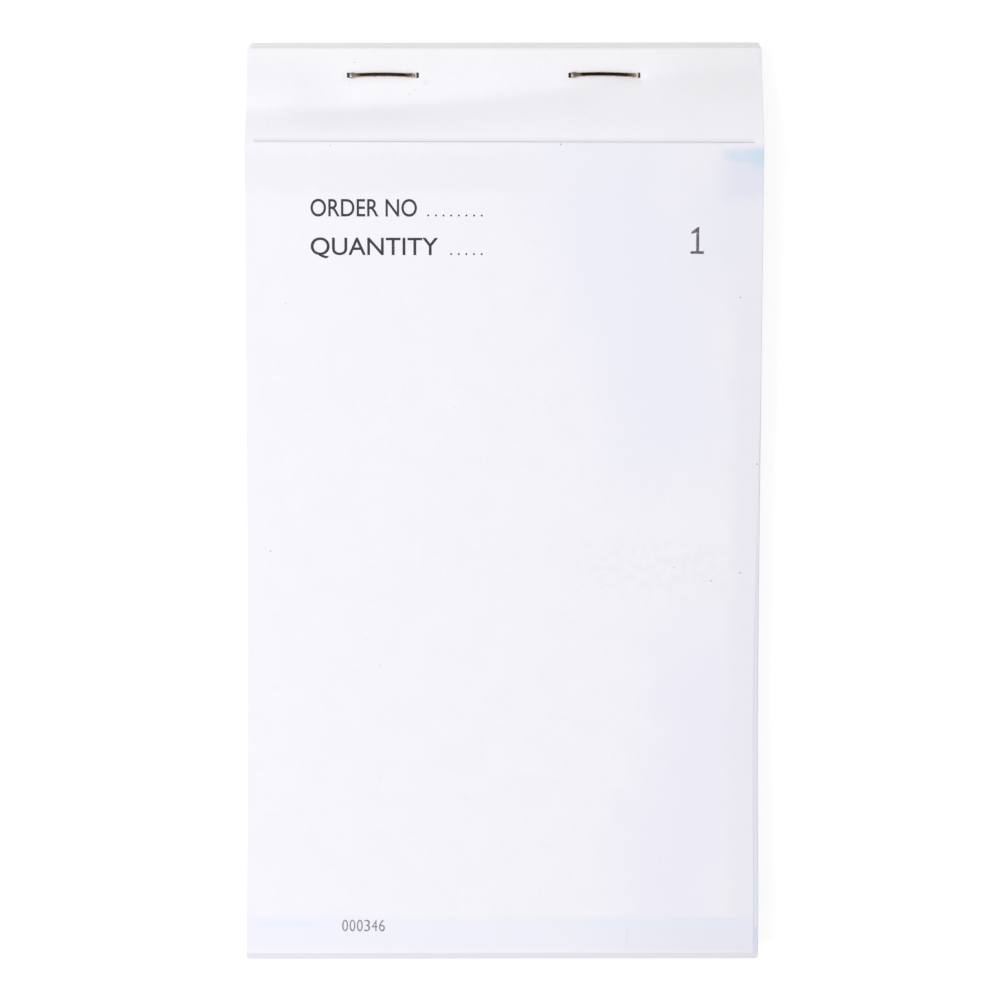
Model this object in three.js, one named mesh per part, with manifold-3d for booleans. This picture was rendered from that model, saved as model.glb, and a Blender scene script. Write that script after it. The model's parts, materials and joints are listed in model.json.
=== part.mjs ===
// A carbonless order pad: perforated sheets, wire stitched twice near the top of a card back.
// Millimetres. X runs across the pad, +Y towards its stitched end, +Z up.
// The origin is the middle of the back's footprint, on the surface that the pad lies on.

import * as THREE from "three";
import { mergeVertices } from "three/addons/utils/BufferGeometryUtils.js";
import Module from "manifold-3d";

const wasm = await Module();
wasm.setup();

// The pad.
const padWidth = 100;
const padLength = 179.4;
const boardThickness = 1;
const stubDepth = 20.4; // from the top edge to the perforation
const perforationGap = 0.3; // between a stub and its leaf, so that the leaf can turn

// The sheets.
const sheetThickness = 0.065;
const formCount = 50;
const pliesPerForm = 2;
const looseForms = 5; // modelled sheet by sheet, from the top
const bundleCount = 3; // the rest, in equal shares

// The shape the stack has taken: pinched at the staples, puffed up at the perforation,
// low again further down, and lifted at the loose end.
const crestRise = 5.2;
const waistRise = 0.4;
const waistFromCrest = 106;
const tipRise = 2.8;
const topSetback = 1.8; // how far the top sheet stops short of the back, at the stitched end
const tipSetback = 1.4; // and at the loose end
const topSlantSheets = 58; // how many sheets down each set-back has run out
const tipSlantSheets = 10;
const crestSharpness = 1.5; // powers of the curves that meet at the perforation
const fallSharpness = 1.3;
const stubSteps = 8;
const fallSteps = 12;
const tipSteps = 8;
const tipMargin = 1; // the last corner that all leaves share lies this far inside the shortest one

// The staples, of flattened wire.
const crownLength = 14; // over the legs
const wireWidth = 0.7;
const wireThickness = 0.5;
const wireClearance = 0.3;
const stapleFromTop = 6.8;
const leftStapleX = -23.6;
const rightStapleX = 19.5;
const clinchLength = 4.5;
const clinchRecess = 0.1; // how far inside the back's underside the folded ends lie
const bendRadius = 0.6; // on the middle of the wire
const cornerCut = 0.15; // off each corner of the wire's section
const bendSteps = 4;
const pinchHalf = 1.2; // flat paper on either side of a crown
const holeSides = 12;

// Worked out from those.
const topEdgeY = padLength / 2;
const tipEdgeY = -padLength / 2;
const perforationY = topEdgeY - stubDepth;
const stapleY = topEdgeY - stapleFromTop;
const sheetCount = formCount * pliesPerForm;
const looseSheets = looseForms * pliesPerForm;
const pinchZ = boardThickness + sheetCount * sheetThickness;
const crestZ = pinchZ + crestRise;
const waistZ = pinchZ + waistRise;
const waistY = perforationY - waistFromCrest;
const pinchEndY = stapleY - pinchHalf;
const clinchTopZ = clinchRecess + wireThickness;
const holeRadius = wireWidth / 2 + wireClearance;

const materials = {
  original: { color: 0xf3f2f8, roughness: 0.85, metalness: 0 },
  copy: { color: 0xf0eff4, roughness: 0.85, metalness: 0 },
  board: { color: 0xb9b5ad, roughness: 0.95, metalness: 0 },
  wire: { color: 0x5a4a3c, roughness: 0.35, metalness: 1 },
};

// The height of the stack's top surface at a place along the pad.
function topSurface(y) {
  if (y >= pinchEndY) return pinchZ;
  if (y >= perforationY) {
    const left = (y - perforationY) / (pinchEndY - perforationY);
    return crestZ - crestRise * left ** crestSharpness;
  }
  if (y >= waistY) {
    const left = (y - waistY) / waistFromCrest;
    return waistZ + (crestZ - waistZ) * left ** fallSharpness;
  }
  const along = (waistY - y) / (waistY - tipEdgeY);
  return waistZ + tipRise * along * along * (3 - 2 * along);
}

// A level inside the stack is a number of sheets counted from the top. Loose sheets lie on each other,
// and the bundles share what height is left.
function levelHeight(level, y) {
  if (level <= looseSheets) return topSurface(y) - level * sheetThickness;
  const share = (level - looseSheets) / (sheetCount - looseSheets);
  const bundleTop = topSurface(y) - looseSheets * sheetThickness;
  return bundleTop + (boardThickness - bundleTop) * share;
}

function setback(level, full, slantSheets) {
  return full * Math.max(0, 1 - level / slantSheets);
}

function spread(from, to, steps) {
  return Array.from({ length: steps + 1 }, (_, i) => from + ((to - from) * i) / steps);
}

// The places along the pad where a stub or a leaf has a corner in its side view.
function stubPlaces() {
  return spread(perforationY + perforationGap / 2, pinchEndY, stubSteps);
}

function leafPlaces() {
  const fall = spread(perforationY - perforationGap / 2, waistY, fallSteps);
  const tip = spread(waistY, tipEdgeY + tipSetback + tipMargin, tipSteps);
  return [...fall, ...tip.slice(1)];
}

// A closed solid as wide as the pad, from the [y, z] corners of its side view.
function acrossPad(corners) {
  const shape = new THREE.Shape(corners.map(([y, z]) => new THREE.Vector2(y, z)));
  const geometry = new THREE.ExtrudeGeometry(shape, { depth: padWidth, bevelEnabled: false });
  // The side view's own axes become Y and Z, and the way it is extruded becomes X.
  const turn = new THREE.Matrix4().set(0, 0, 1, -padWidth / 2, 1, 0, 0, 0, 0, 1, 0, 0, 0, 0, 0, 1);
  return geometry.applyMatrix4(turn);
}

function layerCorners(places, endY, upper, lower) {
  const top = places.map((y) => [y, levelHeight(upper, y)]);
  const bottom = places.map((y) => [y, levelHeight(lower, y)]);
  const upperEnd = endY(upper);
  const lowerEnd = endY(lower);
  top.push([upperEnd, levelHeight(upper, upperEnd)]);
  bottom.push([lowerEnd, levelHeight(lower, lowerEnd)]);
  return [...top, ...bottom.reverse()];
}

function leafGeometry(upper, lower) {
  const endY = (level) => tipEdgeY + setback(level, tipSetback, tipSlantSheets);
  return acrossPad(layerCorners(leafPlaces(), endY, upper, lower));
}

function stubGeometry(upper, lower) {
  const endY = (level) => topEdgeY - setback(level, topSetback, topSlantSheets);
  return acrossPad(layerCorners(stubPlaces(), endY, upper, lower));
}

function solidOf(geometry) {
  const bare = geometry.clone();
  bare.deleteAttribute("normal");
  bare.deleteAttribute("uv");
  const merged = mergeVertices(bare, 1e-4);
  return new wasm.Manifold(
    new wasm.Mesh({
      numProp: 3,
      vertProperties: merged.attributes.position.array,
      triVerts: new Uint32Array(merged.index.array),
    }),
  );
}

function geometryOf(solid) {
  const { vertProperties, triVerts } = solid.getMesh();
  const geometry = new THREE.BufferGeometry();
  geometry.setAttribute("position", new THREE.BufferAttribute(vertProperties, 3));
  geometry.setIndex(new THREE.BufferAttribute(triVerts, 1));
  geometry.computeVertexNormals();
  return geometry;
}

function staplePlaces() {
  return [leftStapleX, rightStapleX];
}

function legPlaces(stapleX) {
  const half = (crownLength - wireThickness) / 2;
  return [stapleX - half, stapleX + half];
}

// One hole's core, which runs on past both faces of the pad.
function legCore(x) {
  const core = new THREE.CylinderGeometry(holeRadius, holeRadius, 2 * pinchZ, holeSides);
  core.rotateX(Math.PI / 2);
  core.translate(x, stapleY, pinchZ / 2);
  return solidOf(core);
}

function pierced(geometry) {
  let solid = solidOf(geometry);
  for (const stapleX of staplePlaces()) {
    for (const x of legPlaces(stapleX)) {
      solid = solid.subtract(legCore(x));
    }
  }
  return solid;
}

// The bed that a clinched end has pressed into the underside of the board.
function clinchBed(legX, towards) {
  const ahead = clinchLength + wireClearance;
  const behind = wireThickness / 2 + wireClearance;
  const bed = new THREE.BoxGeometry(ahead + behind, 2 * holeRadius, 2 * clinchTopZ);
  bed.translate(legX + (towards * (ahead - behind)) / 2, stapleY, 0);
  return solidOf(bed);
}

function boardGeometry() {
  const board = new THREE.BoxGeometry(padWidth, padLength, boardThickness);
  board.translate(0, 0, boardThickness / 2);
  let solid = pierced(board);
  for (const stapleX of staplePlaces()) {
    const [left, right] = legPlaces(stapleX);
    solid = solid.subtract(clinchBed(left, 1)).subtract(clinchBed(right, -1));
  }
  return geometryOf(solid);
}

// The middle line of a staple's wire, in the X Z plane, with round bends.
function staplePath() {
  const [left, right] = legPlaces(0);
  const crownZ = pinchZ + wireThickness / 2;
  const clinchZ = clinchTopZ - wireThickness / 2;
  const path = [[left + clinchLength, clinchZ]];
  const bend = (centreX, centreZ, from) => {
    for (const angle of spread(from, from - Math.PI / 2, bendSteps)) {
      path.push([centreX + bendRadius * Math.cos(angle), centreZ + bendRadius * Math.sin(angle)]);
    }
  };
  bend(left + bendRadius, clinchZ + bendRadius, (3 * Math.PI) / 2);
  bend(left + bendRadius, crownZ - bendRadius, Math.PI);
  bend(right - bendRadius, crownZ - bendRadius, Math.PI / 2);
  bend(right - bendRadius, clinchZ + bendRadius, 0);
  path.push([right - clinchLength, clinchZ]);
  return path;
}

// The wire's section, flat with its corners taken off, as [across, along the wire's normal].
function wireSection() {
  const w = wireWidth / 2;
  const t = wireThickness / 2;
  return [
    [w, -t + cornerCut],
    [w, t - cornerCut],
    [w - cornerCut, t],
    [-w + cornerCut, t],
    [-w, t - cornerCut],
    [-w, -t + cornerCut],
    [-w + cornerCut, -t],
    [w - cornerCut, -t],
  ];
}

function unit(from, to) {
  const length = Math.hypot(to[0] - from[0], to[1] - from[1]);
  return [(to[0] - from[0]) / length, (to[1] - from[1]) / length];
}

function stapleGeometry(stapleX) {
  const path = staplePath();
  const section = wireSection();
  const sides = section.length;
  const positions = [];
  path.forEach((point, i) => {
    const before = unit(path[Math.max(i - 1, 0)], path[Math.max(i, 1)]);
    const last = path.length - 1;
    const after = unit(path[Math.min(i, last - 1)], path[Math.min(i + 1, last)]);
    const normal = [-(before[1] + after[1]), before[0] + after[0]];
    const mitre = 2 / (normal[0] ** 2 + normal[1] ** 2);
    for (const [across, out] of section) {
      const x = point[0] + normal[0] * mitre * out;
      const z = point[1] + normal[1] * mitre * out;
      positions.push(stapleX + x, stapleY + across, z);
    }
  });
  const faces = [];
  for (let ring = 0; ring < path.length - 1; ring++) {
    for (let side = 0; side < sides; side++) {
      const a = ring * sides + side;
      const b = ring * sides + ((side + 1) % sides);
      faces.push(a, b, b + sides, a, b + sides, a + sides);
    }
  }
  const lastRing = (path.length - 1) * sides;
  for (let side = 1; side < sides - 1; side++) {
    faces.push(0, side + 1, side);
    faces.push(lastRing, lastRing + side, lastRing + side + 1);
  }
  const geometry = new THREE.BufferGeometry();
  geometry.setAttribute("position", new THREE.Float32BufferAttribute(positions, 3));
  geometry.setIndex(faces);
  geometry.computeVertexNormals();
  return geometry;
}

function addMesh(group, name, geometry, look) {
  const mesh = new THREE.Mesh(geometry, new THREE.MeshStandardMaterial(look));
  mesh.name = name;
  group.add(mesh);
}

function addLayer(group, name, upper, lower, look) {
  addMesh(group, `${name}_stub`, geometryOf(pierced(stubGeometry(upper, lower))), look);
  addMesh(group, `${name}_leaf`, leafGeometry(upper, lower), look);
}

function buildForms(group) {
  const plies = ["original", "copy"];
  for (let sheet = 0; sheet < looseSheets; sheet++) {
    const form = Math.floor(sheet / pliesPerForm) + 1;
    const ply = plies[sheet % plies.length];
    addLayer(group, `form_${form}_${ply}`, sheet, sheet + 1, materials[ply]);
  }
}

function buildBundles(group) {
  const levels = spread(looseSheets, sheetCount, bundleCount);
  for (let bundle = 0; bundle < bundleCount; bundle++) {
    addLayer(group, `bundle_${bundle + 1}`, levels[bundle], levels[bundle + 1], materials.copy);
  }
}

function buildPad() {
  const pad = new THREE.Group();
  addMesh(pad, "backing_board", boardGeometry(), materials.board);
  buildForms(pad);
  buildBundles(pad);
  addMesh(pad, "staple_left", stapleGeometry(leftStapleX), materials.wire);
  addMesh(pad, "staple_right", stapleGeometry(rightStapleX), materials.wire);
  return pad;
}

export default buildPad();
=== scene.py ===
# %% [markdown]
# # A carbonless order pad
# The pad is a stack of thin sheets, stitched with two flat wire staples through a card back. Every
# sheet is perforated under the staples, so it is a short stub and a long leaf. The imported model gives
# the true size, the places and the hinges. This script dresses it: each sheet becomes real paper, one
# by one, because the fine lines of the cut edges are what tells a pad from a block.

# %% Load the frame
import json
import math
import random

import bpy
import numpy as np
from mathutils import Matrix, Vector


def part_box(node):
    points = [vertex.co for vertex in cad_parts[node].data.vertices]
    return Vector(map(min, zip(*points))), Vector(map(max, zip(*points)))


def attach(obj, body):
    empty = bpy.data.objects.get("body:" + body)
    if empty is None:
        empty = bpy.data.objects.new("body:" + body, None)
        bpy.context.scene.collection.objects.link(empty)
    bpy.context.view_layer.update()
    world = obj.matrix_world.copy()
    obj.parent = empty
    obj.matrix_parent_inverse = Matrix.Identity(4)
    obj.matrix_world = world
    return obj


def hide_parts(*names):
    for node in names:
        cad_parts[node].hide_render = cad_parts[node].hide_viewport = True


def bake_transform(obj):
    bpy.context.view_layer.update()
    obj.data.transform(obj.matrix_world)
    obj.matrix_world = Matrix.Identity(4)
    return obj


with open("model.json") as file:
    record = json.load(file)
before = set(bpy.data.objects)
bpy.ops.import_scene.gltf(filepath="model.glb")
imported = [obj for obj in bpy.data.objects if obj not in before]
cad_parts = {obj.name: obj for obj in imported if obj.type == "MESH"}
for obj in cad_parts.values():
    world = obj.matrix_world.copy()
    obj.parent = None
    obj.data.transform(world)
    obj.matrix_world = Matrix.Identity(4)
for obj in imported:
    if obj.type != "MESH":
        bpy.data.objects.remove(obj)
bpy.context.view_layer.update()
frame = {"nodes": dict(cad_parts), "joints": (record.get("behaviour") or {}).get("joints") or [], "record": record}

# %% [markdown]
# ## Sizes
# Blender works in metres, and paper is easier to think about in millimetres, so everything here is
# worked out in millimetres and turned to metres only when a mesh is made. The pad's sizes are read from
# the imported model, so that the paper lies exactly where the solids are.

MM = 0.001
nodes = frame["nodes"]
record = frame["record"]


def node_box(name):
    """The lowest and highest corner of a node, in millimetres."""
    return tuple(np.array(corner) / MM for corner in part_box(name))


board_low, board_high = node_box("backing_board")
hinge = np.array(frame["joints"][0]["pos_m"]) / MM
half_width = board_high[0]
top_edge, tip_edge = board_high[1], board_low[1]
perforation_y = hinge[1]
board_top = board_high[2]
sheet_pitch = 0.065
sheet_count = 100
loose_sheets = 10  # the first five forms, whose sheets are solids of their own
top_setback = top_edge - node_box("form_1_original_stub")[1][1]
tip_setback = node_box("form_1_original_leaf")[0][1] - tip_edge
print("pad, mm:", 2 * half_width, top_edge - tip_edge, hinge[2], "set back", top_setback, tip_setback)

# %% [markdown]
# ## The camera
# The pad is seen from almost straight above, and from so near that the raised paper at the perforation
# looks wider than the rest. So the camera is a perspective one at a real distance, and its lens
# follows from how many pixels of the picture a millimetre takes up on the table.


# %% Camera
def new_object(name, data):
    """An object of the scene, from its data."""
    made = bpy.data.objects.new(name, data)
    bpy.context.scene.collection.objects.link(made)
    return made


camera_height = 430.0
tilt = math.radians(2.0)
roll = math.radians(0.15)
pixels_per_mm = 5.015
frame_pixels = 1000
sensor = 36.0
camera_x = -0.67
looked_at_y = -0.15

camera_data = bpy.data.cameras.new("camera")
camera = new_object("camera", camera_data)
camera_data.sensor_width = sensor
camera_data.lens = sensor * camera_height / math.cos(tilt) * pixels_per_mm / frame_pixels
camera_data.clip_start = 0.01
camera_data.clip_end = 20
camera_y = looked_at_y + camera_height * math.tan(tilt)
camera.location = (camera_x * MM, camera_y * MM, camera_height * MM)
camera.rotation_euler = (-tilt, 0, roll)
bpy.context.scene.camera = camera
print("lens, mm:", round(camera_data.lens, 2), "camera over y", round(camera_y, 2))

# %% [markdown]
# ## Colours and nodes
# A few small helpers keep the materials short. One turns a colour, written as a web colour, into the
# linear values that light is added up in. Another makes a shader node and links it.
# Every pattern on the pad is measured in the pad's own millimetres, so that it stays with the paper.


# %% Colours and nodes
def linear(hex_colour, alpha=1.0):
    """An sRGB hex colour as the linear values that Blender's shaders take."""
    values = [int(hex_colour[i : i + 2], 16) / 255 for i in (1, 3, 5)]
    return [v / 12.92 if v <= 0.04045 else ((v + 0.055) / 1.055) ** 2.4 for v in values] + [alpha]


def add(tree, kind, inputs, **settings):
    """Adds a shader node with its settings. inputs maps a socket's name or number to a value or node."""
    made = tree.nodes.new("ShaderNode" + kind)
    for name, value in settings.items():
        setattr(made, name, value)
    for slot, value in inputs.items():
        if isinstance(value, bpy.types.Node):
            value = value.outputs[0]
        if isinstance(value, bpy.types.NodeSocket):
            tree.links.new(value, made.inputs[slot])
        else:
            made.inputs[slot].default_value = value
    return made


def new_material(name):
    """A material with an empty node tree."""
    made = bpy.data.materials.new(name)
    made.use_nodes = True
    made.node_tree.nodes.clear()
    return made, made.node_tree


def finish_material(tree, kind, inputs):
    """Adds the shader of the surface and links it to the material's output."""
    add(tree, "OutputMaterial", {"Surface": add(tree, kind, inputs)})


def place_in_mm(tree):
    """A place on the pad in millimetres, for patterns of a real size."""
    position = add(tree, "TexCoord", {}).outputs["Object"]
    return add(tree, "VectorMath", {0: position, 1: (1 / MM,) * 3}, operation="MULTIPLY")


def seen_directly(tree):
    """1 where a ray comes from the camera or from metal or glass, and 0 where it only brings light."""
    rays = add(tree, "LightPath", {}).outputs
    seen = rays["Is Camera Ray"]
    for kind in ("Is Glossy Ray", "Is Transmission Ray"):
        seen = add(tree, "Math", {0: seen, 1: rays[kind]}, operation="MAXIMUM")
    return seen


print("1 mm is", MM, "m, and mid grey is", round(linear("#808080")[0], 3))

# %% [markdown]
# ## The light and the table
# A pale sheet on a pale table is the hardest thing to light: too much and it burns out, too flat and
# every crease is gone. The world gives a little over half of the light, as the walls of a light tent
# do. One large soft lamp hangs high on the left. It makes that side the brighter, and because most of
# its light comes down from above, every slope in the paper turns a little darker than the level parts.
# The camera, and shiny metal, see pure white around the pad.

# %% World and lamp
world = bpy.data.worlds.new("studio")
bpy.context.scene.world = world
world.use_nodes = True
sky = world.node_tree
sky.nodes.clear()
ambient = 0.60
strength = {"Value": seen_directly(sky), "To Min": ambient, "To Max": 1.0}
strength = add(sky, "MapRange", strength)
light = add(sky, "Background", {"Color": linear("#FFFFFF"), "Strength": strength})
add(sky, "OutputWorld", {"Surface": light})
bpy.context.scene.view_settings.view_transform = "Standard"


def soft_lamp(name, place, size, watts):
    """A square lamp that looks at the pad."""
    data = bpy.data.lights.new(name, "AREA")
    data.size = size
    data.energy = watts
    lamp = new_object(name, data)
    lamp.location = place
    lamp.rotation_euler = (-Vector(place)).to_track_quat("-Z", "Y").to_euler()


soft_lamp("lamp_on_the_left", place=(-0.42, -0.03, 0.62), size=0.45, watts=3.0)
print("the world gives", ambient, "of full white")

# %% [markdown]
# The table is white, and to the camera it glows as well, so that it stays white and the pad's shadow on
# it is only a faint one. Polished wire shows what is above it. In a studio that is the dark camera, so
# a black card hangs there. Only reflections see the card, and it takes no light from the paper.

# %% Table and black card
table_material, tree = new_material("white_laminate_table")
glow = 0.73  # with the tone of seen_top, just enough to be white where no shadow falls
table_top = add(tree, "BsdfDiffuse", {"Color": linear("#EAEAEA")})
seen_top = add(tree, "BsdfDiffuse", {"Color": linear("#B3B3B3")})
lift = add(tree, "Emission", {"Color": linear("#FFFFFF"), "Strength": glow})
bright = add(tree, "AddShader", {0: seen_top, 1: lift})
finish_material(tree, "MixShader", {0: seen_directly(tree), 1: table_top, 2: bright})

card_material, tree = new_material("black_card")
finish_material(tree, "BsdfDiffuse", {"Color": linear("#261F1C")})


def flat_square(name, centre, half, material):
    """A level square that belongs to the studio and not to the pad."""
    mesh = bpy.data.meshes.new(name)
    x, y, z = centre
    corners = [(x - half, y - half, z), (x + half, y - half, z), (x + half, y + half, z),
               (x - half, y + half, z)]
    mesh.from_pydata(corners, [], [(0, 1, 2, 3)])
    mesh.materials.append(material)
    made = new_object(name, mesh)
    return made


table_half, table_drop = 3.0, 0.05 * MM  # lowered, so that it never shares a plane with the card back
flat_square("table", (0, 0, -table_drop), table_half, table_material)
card_half, card_over_camera = 0.28, 0.03
card_place = (0, 0.13, camera_height * MM + card_over_camera)  # where level wire mirrors the camera
card = flat_square("black_card", card_place, card_half, card_material)
card.visible_camera = card.visible_diffuse = card.visible_shadow = False
card.visible_transmission = False
print("table and card, half their sides in m:", table_half, card_half)

# %% [markdown]
# ## The shape of the paper
# Seen from the side, the stack rises from the staples to a crest at the perforation, where the burrs
# of a hundred perforated sheets add up, falls to a waist, and lifts again at its loose end. That side
# view is read from the solids. Real paper is never the same all the way across, so it is only the base.
# The stub stays low from its edge to a fold that slants across it, rises quickly there, and rounds off
# towards the crest. Away from the staples it stands higher, and each crown presses it down.


# %% Side view of the solids
def side_view(name):
    """The places along the pad, and the heights of the top face, of a leaf or a stub."""
    heights = {}
    for vertex in nodes[name].data.vertices:
        place = round(vertex.co.y / MM, 3)
        heights.setdefault(place, []).append(vertex.co.z / MM)
    places = sorted(p for p, found in heights.items() if max(found) - min(found) > sheet_pitch / 2)
    return places, [max(heights[p]) for p in places]


leaf_places, leaf_heights = side_view("form_1_original_leaf")
stub_places, stub_heights = side_view("form_1_original_stub")
fine_step = 0.25
smoothed_over = 3.0
fine_places = np.arange(tip_edge - 10, top_edge + 10, fine_step)
fine_heights = np.interp(fine_places, leaf_places + stub_places, leaf_heights + stub_heights)
blur = np.hanning(round(smoothed_over / fine_step) + 1)
blur /= blur.sum()
fine_heights = np.convolve(np.pad(fine_heights, len(blur) // 2, "edge"), blur, "valid")
fine_heights += hinge[2] - np.interp(perforation_y, fine_places, fine_heights)
print("side view corners", len(leaf_places), len(stub_places), "crest", fine_heights.max())

# %% The staples' crowns
wire_thickness, wire_width = 0.5, 0.75
staple_boxes = {side: node_box(f"staple_{side}") for side in ("left", "right")}
staple_y = sum(low[1] + high[1] for low, high in staple_boxes.values()) / 4
crown_underside = staple_boxes["left"][1][2] - wire_thickness
crown_offset = {"left": (-0.30, -0.30), "right": (-0.06, -0.16)}  # of a crown's two ends, along the pad
crown_bow = 0.26  # how far a crown's middle stands towards the stitched edge
print("staples at y", staple_y, "mm, underside of the crowns at z", crown_underside)


def crown_line(x, side):
    """Where a crown's middle line runs along the pad, at a place across it."""
    low, high = staple_boxes[side]
    share = np.clip((x - low[0]) / (high[0] - low[0]), 0, 1)
    first, last = crown_offset[side]
    return staple_y + first + (last - first) * share + crown_bow * (1 - (2 * share - 1) ** 2)


def past_crown(x, y, side):
    """How far a place is from the strip of paper under a crown."""
    low, high = staple_boxes[side]
    across = np.maximum(np.maximum(low[0] - x, x - high[0]), 0)
    along = np.maximum(np.abs(y - crown_line(x, side)) - wire_width / 2, 0)
    return np.hypot(across, along)


# %% The top sheet
crest_z = hinge[2]
fold_x = [-50, -37, -22, -12, -1, 9, 20, 30, 50]
fold_y = [76.0, 75.8, 76.5, 77.4, 78.6, 79.9, 81.2, 82.7, 84.0]  # where the stub starts to rise
fold_sharpness, fold_rounding = 1.9, 1.3
even_x, even_share = [-50, -38, 12, 38], [0.55, 0.3, 0.3, 0.85]  # how even a ramp the rise is
lift_left, lift_right, lift_place, lift_spread, lift_reach = 1.8, 0.3, staple_y - 4.5, 6.5, 9.0
tied_sheets = 3  # the top sheets, whose slits and ties are modelled
uncut_ends = 1.9  # how far inside the two sides of the paper the perforation ends
dip_starts = 0.3  # where the dip begins, in shares of that
dip_depth, dip_above, dip_below = 0.2, 0.6, 0.2  # of the dip along the perforation
groove_reach = 0.9  # how far from a crown the paper is pressed down
stub_ripple, leaf_ripple, leaf_wave = 0.05, 0.05, 0.04  # how high the paper ripples
stub_ripple_length, leaf_ripple_lengths, leaf_wave_length = 5, (19, 27), 23  # each times two pi


def stub_height(x, y):
    """The stub: low at its edge, a quick rise from the fold, and a round crest at the perforation."""
    first, last = staple_boxes["left"][0][0], staple_boxes["right"][1][0]
    outside = np.maximum(np.maximum(first - x, x - last), 0)
    held = np.exp(-((outside / lift_reach) ** 2))
    low = crown_underside + stub_ripple * np.sin(x / stub_ripple_length + 1)
    lift = np.interp(x, [-half_width, half_width], [lift_left, lift_right])
    low = low + lift * (1 - held) * np.exp(-(((y - lift_place) / lift_spread) ** 2))
    start = np.interp(x, fold_x, fold_y)
    beyond = start - y
    beyond = (beyond + np.sqrt(beyond**2 + fold_rounding**2)) / 2
    reach = start - perforation_y + fold_rounding**2 / 4 / (start - perforation_y)
    share = np.clip(beyond / reach, 0, 1)
    even = np.interp(x, even_x, even_share)
    return low + (crest_z - low) * (even * share + (1 - even) * (1 - (1 - share) ** fold_sharpness))


def top_height(x, y, level=0):
    """The height of the pad's top surface. In the sheets with ties, its dip ends short of the sides."""
    leaf = np.interp(y, fine_places, fine_heights)
    across, along = leaf_ripple_lengths
    leaf = leaf + leaf_ripple * np.sin(x / across + 0.8) * np.sin(y / along)
    leaf = leaf + leaf_wave * np.sin((x + 0.6 * y) / leaf_wave_length)
    stub = stub_height(x, y)
    for side in crown_offset:
        pressed = np.exp(-((past_crown(x, y, side) / groove_reach) ** 2))
        stub = stub + pressed * np.minimum(crown_underside - stub, 0)
    height = np.where(y > perforation_y, stub, np.minimum(leaf, crest_z))
    spread = np.where(y > perforation_y, dip_above, dip_below)
    inwards = np.clip((half_width - np.abs(x)) / uncut_ends - dip_starts, 0, 1)
    depth = dip_depth * inwards if level < tied_sheets else dip_depth
    return height - depth * np.exp(-(((y - perforation_y) / spread) ** 2))


def level_height(level, x, y):
    """The height of the top of the sheet that has this many sheets above it."""
    top = top_height(x, y, level)
    if level <= loose_sheets:
        return top - level * sheet_pitch
    bundle_top = top - loose_sheets * sheet_pitch
    share = (level - loose_sheets) / (sheet_count - loose_sheets)
    return bundle_top + (board_top - bundle_top) * share


print("top height in the middle, mm:", [round(float(top_height(0, y)), 2) for y in (-80, 0, 68, 80)])

# %% [markdown]
# ## One sheet of paper
# A sheet could be a plane with a Solidify modifier, but its perforation needs real slits between
# small ties. So the sheet is a grid of cells with some of them left out: every cell that is there gets
# a top and an underside, and a wall wherever its neighbour is missing. That gives a closed solid with
# square-cut edges, whatever the pattern of holes.


# %% Sheets from cells
def grid_solid(xs, ys, cells, place, thickness):
    """Vertices and faces of a closed sheet. place gives a grid point's x, y and z."""
    rows, columns = len(ys), len(xs)
    x, y, z = place(*np.meshgrid(xs, ys))
    upper = np.stack([x, y, z], -1).reshape(-1, 3)
    lower = upper - np.array([0, 0, thickness])
    count = rows * columns
    faces = []
    for row, column in np.argwhere(cells):
        a = int(row) * columns + int(column)
        b, c, d = a + 1, a + columns + 1, a + columns
        faces.append((a, b, c, d))
        faces.append((d + count, c + count, b + count, a + count))
        beside = ((row - 1, column, a, b), (row, column + 1, b, c), (row + 1, column, c, d),
                  (row, column - 1, d, a))
        for next_row, next_column, start, end in beside:
            inside = 0 <= next_row < rows - 1 and 0 <= next_column < columns - 1
            if not (inside and cells[next_row, next_column]):
                faces.append((start, start + count, end + count, end))
    return np.concatenate([upper, lower]), faces


def mesh_object(name, parts, material, crease_degrees=50, shades=()):
    """One object from several lists of vertices, in millimetres, and faces, with a shade for each."""
    vertices, faces, used_so_far = [], [], 0
    for part_vertices, part_faces in parts:
        used = np.unique(np.concatenate([np.array(face) for face in part_faces]))
        renumber = np.zeros(len(part_vertices), int)
        renumber[used] = np.arange(len(used)) + used_so_far
        used_so_far += len(used)
        vertices.append(part_vertices[used])
        faces += [tuple(int(renumber[i]) for i in face) for face in part_faces]
    mesh = bpy.data.meshes.new(name)
    mesh.from_pydata((np.concatenate(vertices) * MM).tolist(), [], faces)
    mesh.polygons.foreach_set("use_smooth", [True] * len(mesh.polygons))
    mesh.set_sharp_from_angle(angle=math.radians(crease_degrees))
    mesh.materials.append(material)
    if shades:
        values = np.repeat(shades, [len(part) for part in vertices])
        mesh.attributes.new("edge_shade", "FLOAT", "POINT").data.foreach_set("value", values)
    return new_object(name, mesh)
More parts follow.
